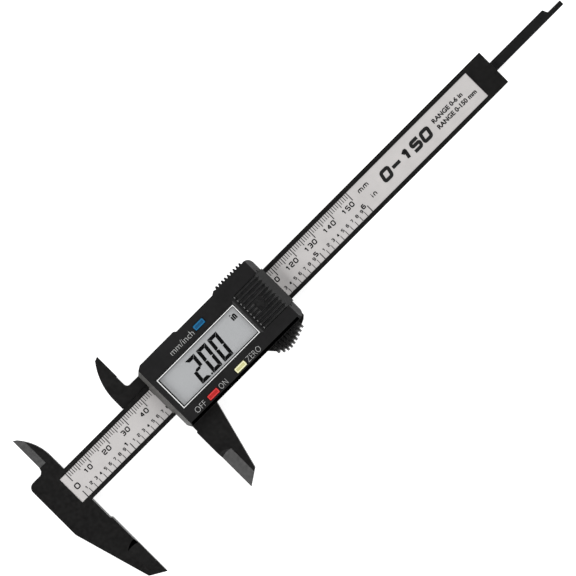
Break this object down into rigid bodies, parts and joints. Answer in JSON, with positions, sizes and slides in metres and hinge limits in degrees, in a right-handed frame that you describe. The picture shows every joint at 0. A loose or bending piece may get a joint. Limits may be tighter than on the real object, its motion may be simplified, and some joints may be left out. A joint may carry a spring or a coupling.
{
  "type": "digital caliper",
  "caption": "Digital caliper with a sliding display unit on a graduated beam, outside and inside jaws, and a depth rod at the far end.",
  "frame": {"origin": "middle of the whole object's box in X and Y, on the surface the slider's back rests on", "axes": "+X along the beam from the fixed jaws to the depth rod, +Y towards the inside jaws, +Z out of the display"},
  "size_m": [0.273, 0.0764, 0.0149],
  "materials": {
    "black_plastic": "fine moulded satin",
    "cover_plastic": "satin, slightly worn edges",
    "rod_black": "satin",
    "scale_silver": "silver print on film",
    "board_green": "solder mask on glass fibre",
    "copper": "bare copper",
    "steel": "zinc plated",
    "spring_bronze": "rolled strip",
    "cell_steel": "nickel plated",
    "window_clear": "clear polished",
    "lcd": "satin polariser",
    "white_plastic": "moulded",
    "reflector": "diffuse film",
    "zebra_rubber": "matt",
    "potting": "cured resin",
    "blue_button": "smooth",
    "red_button": "smooth",
    "yellow_button": "smooth"
  },
  "bodies": {
    "beam": {"beam": "black_plastic", "scale_board": "board_green", "scale_electrodes": "copper", "scale_label": "scale_silver", "end_stop_plate": "steel", "end_stop_screws": "steel"},
    "slider": {"slider_frame": "black_plastic", "gib_strip": "spring_bronze", "front_cover": "cover_plastic", "window_lens": "window_clear", "lcd_holder": "white_plastic", "lcd_glass": "lcd", "lcd_reflector": "reflector", "zebra_strips": "zebra_rubber", "main_board": "board_green", "sensor_pads": "copper", "controller_chip": "potting", "board_components": "steel", "switch_domes": "steel", "board_screws": "steel", "case_screws": "steel", "battery": "cell_steel", "battery_contact_positive": "spring_bronze", "battery_contact_negative": "spring_bronze", "depth_rod": "rod_black", "rod_screws": "steel"},
    "battery_door": {"battery_cover": "cover_plastic"},
    "units_key": {"button_units": "blue_button"},
    "power_key": {"button_power": "red_button"},
    "zero_key": {"button_zero": "yellow_button"}
  },
  "joints": [
    {"name": "slider_slide", "type": "slide", "parent": "beam", "child": "slider", "axis": [1, 0, 0], "range_m": [-0.04518, 0.1048]},
    {"name": "battery_cover_slide", "type": "slide", "parent": "slider", "child": "battery_door", "axis": [1, 0, 0], "range_m": [0, 0.022]},
    {"name": "units_press", "type": "slide", "parent": "slider", "child": "units_key", "axis": [0, 0, -1], "range_m": [0, 0.0006], "stiffness_N_per_m": 1500},
    {"name": "power_press", "type": "slide", "parent": "slider", "child": "power_key", "axis": [0, 0, -1], "range_m": [0, 0.0006], "stiffness_N_per_m": 1500},
    {"name": "zero_press", "type": "slide", "parent": "slider", "child": "zero_key", "axis": [0, 0, -1], "range_m": [0, 0.0006], "stiffness_N_per_m": 1500}
  ]
}
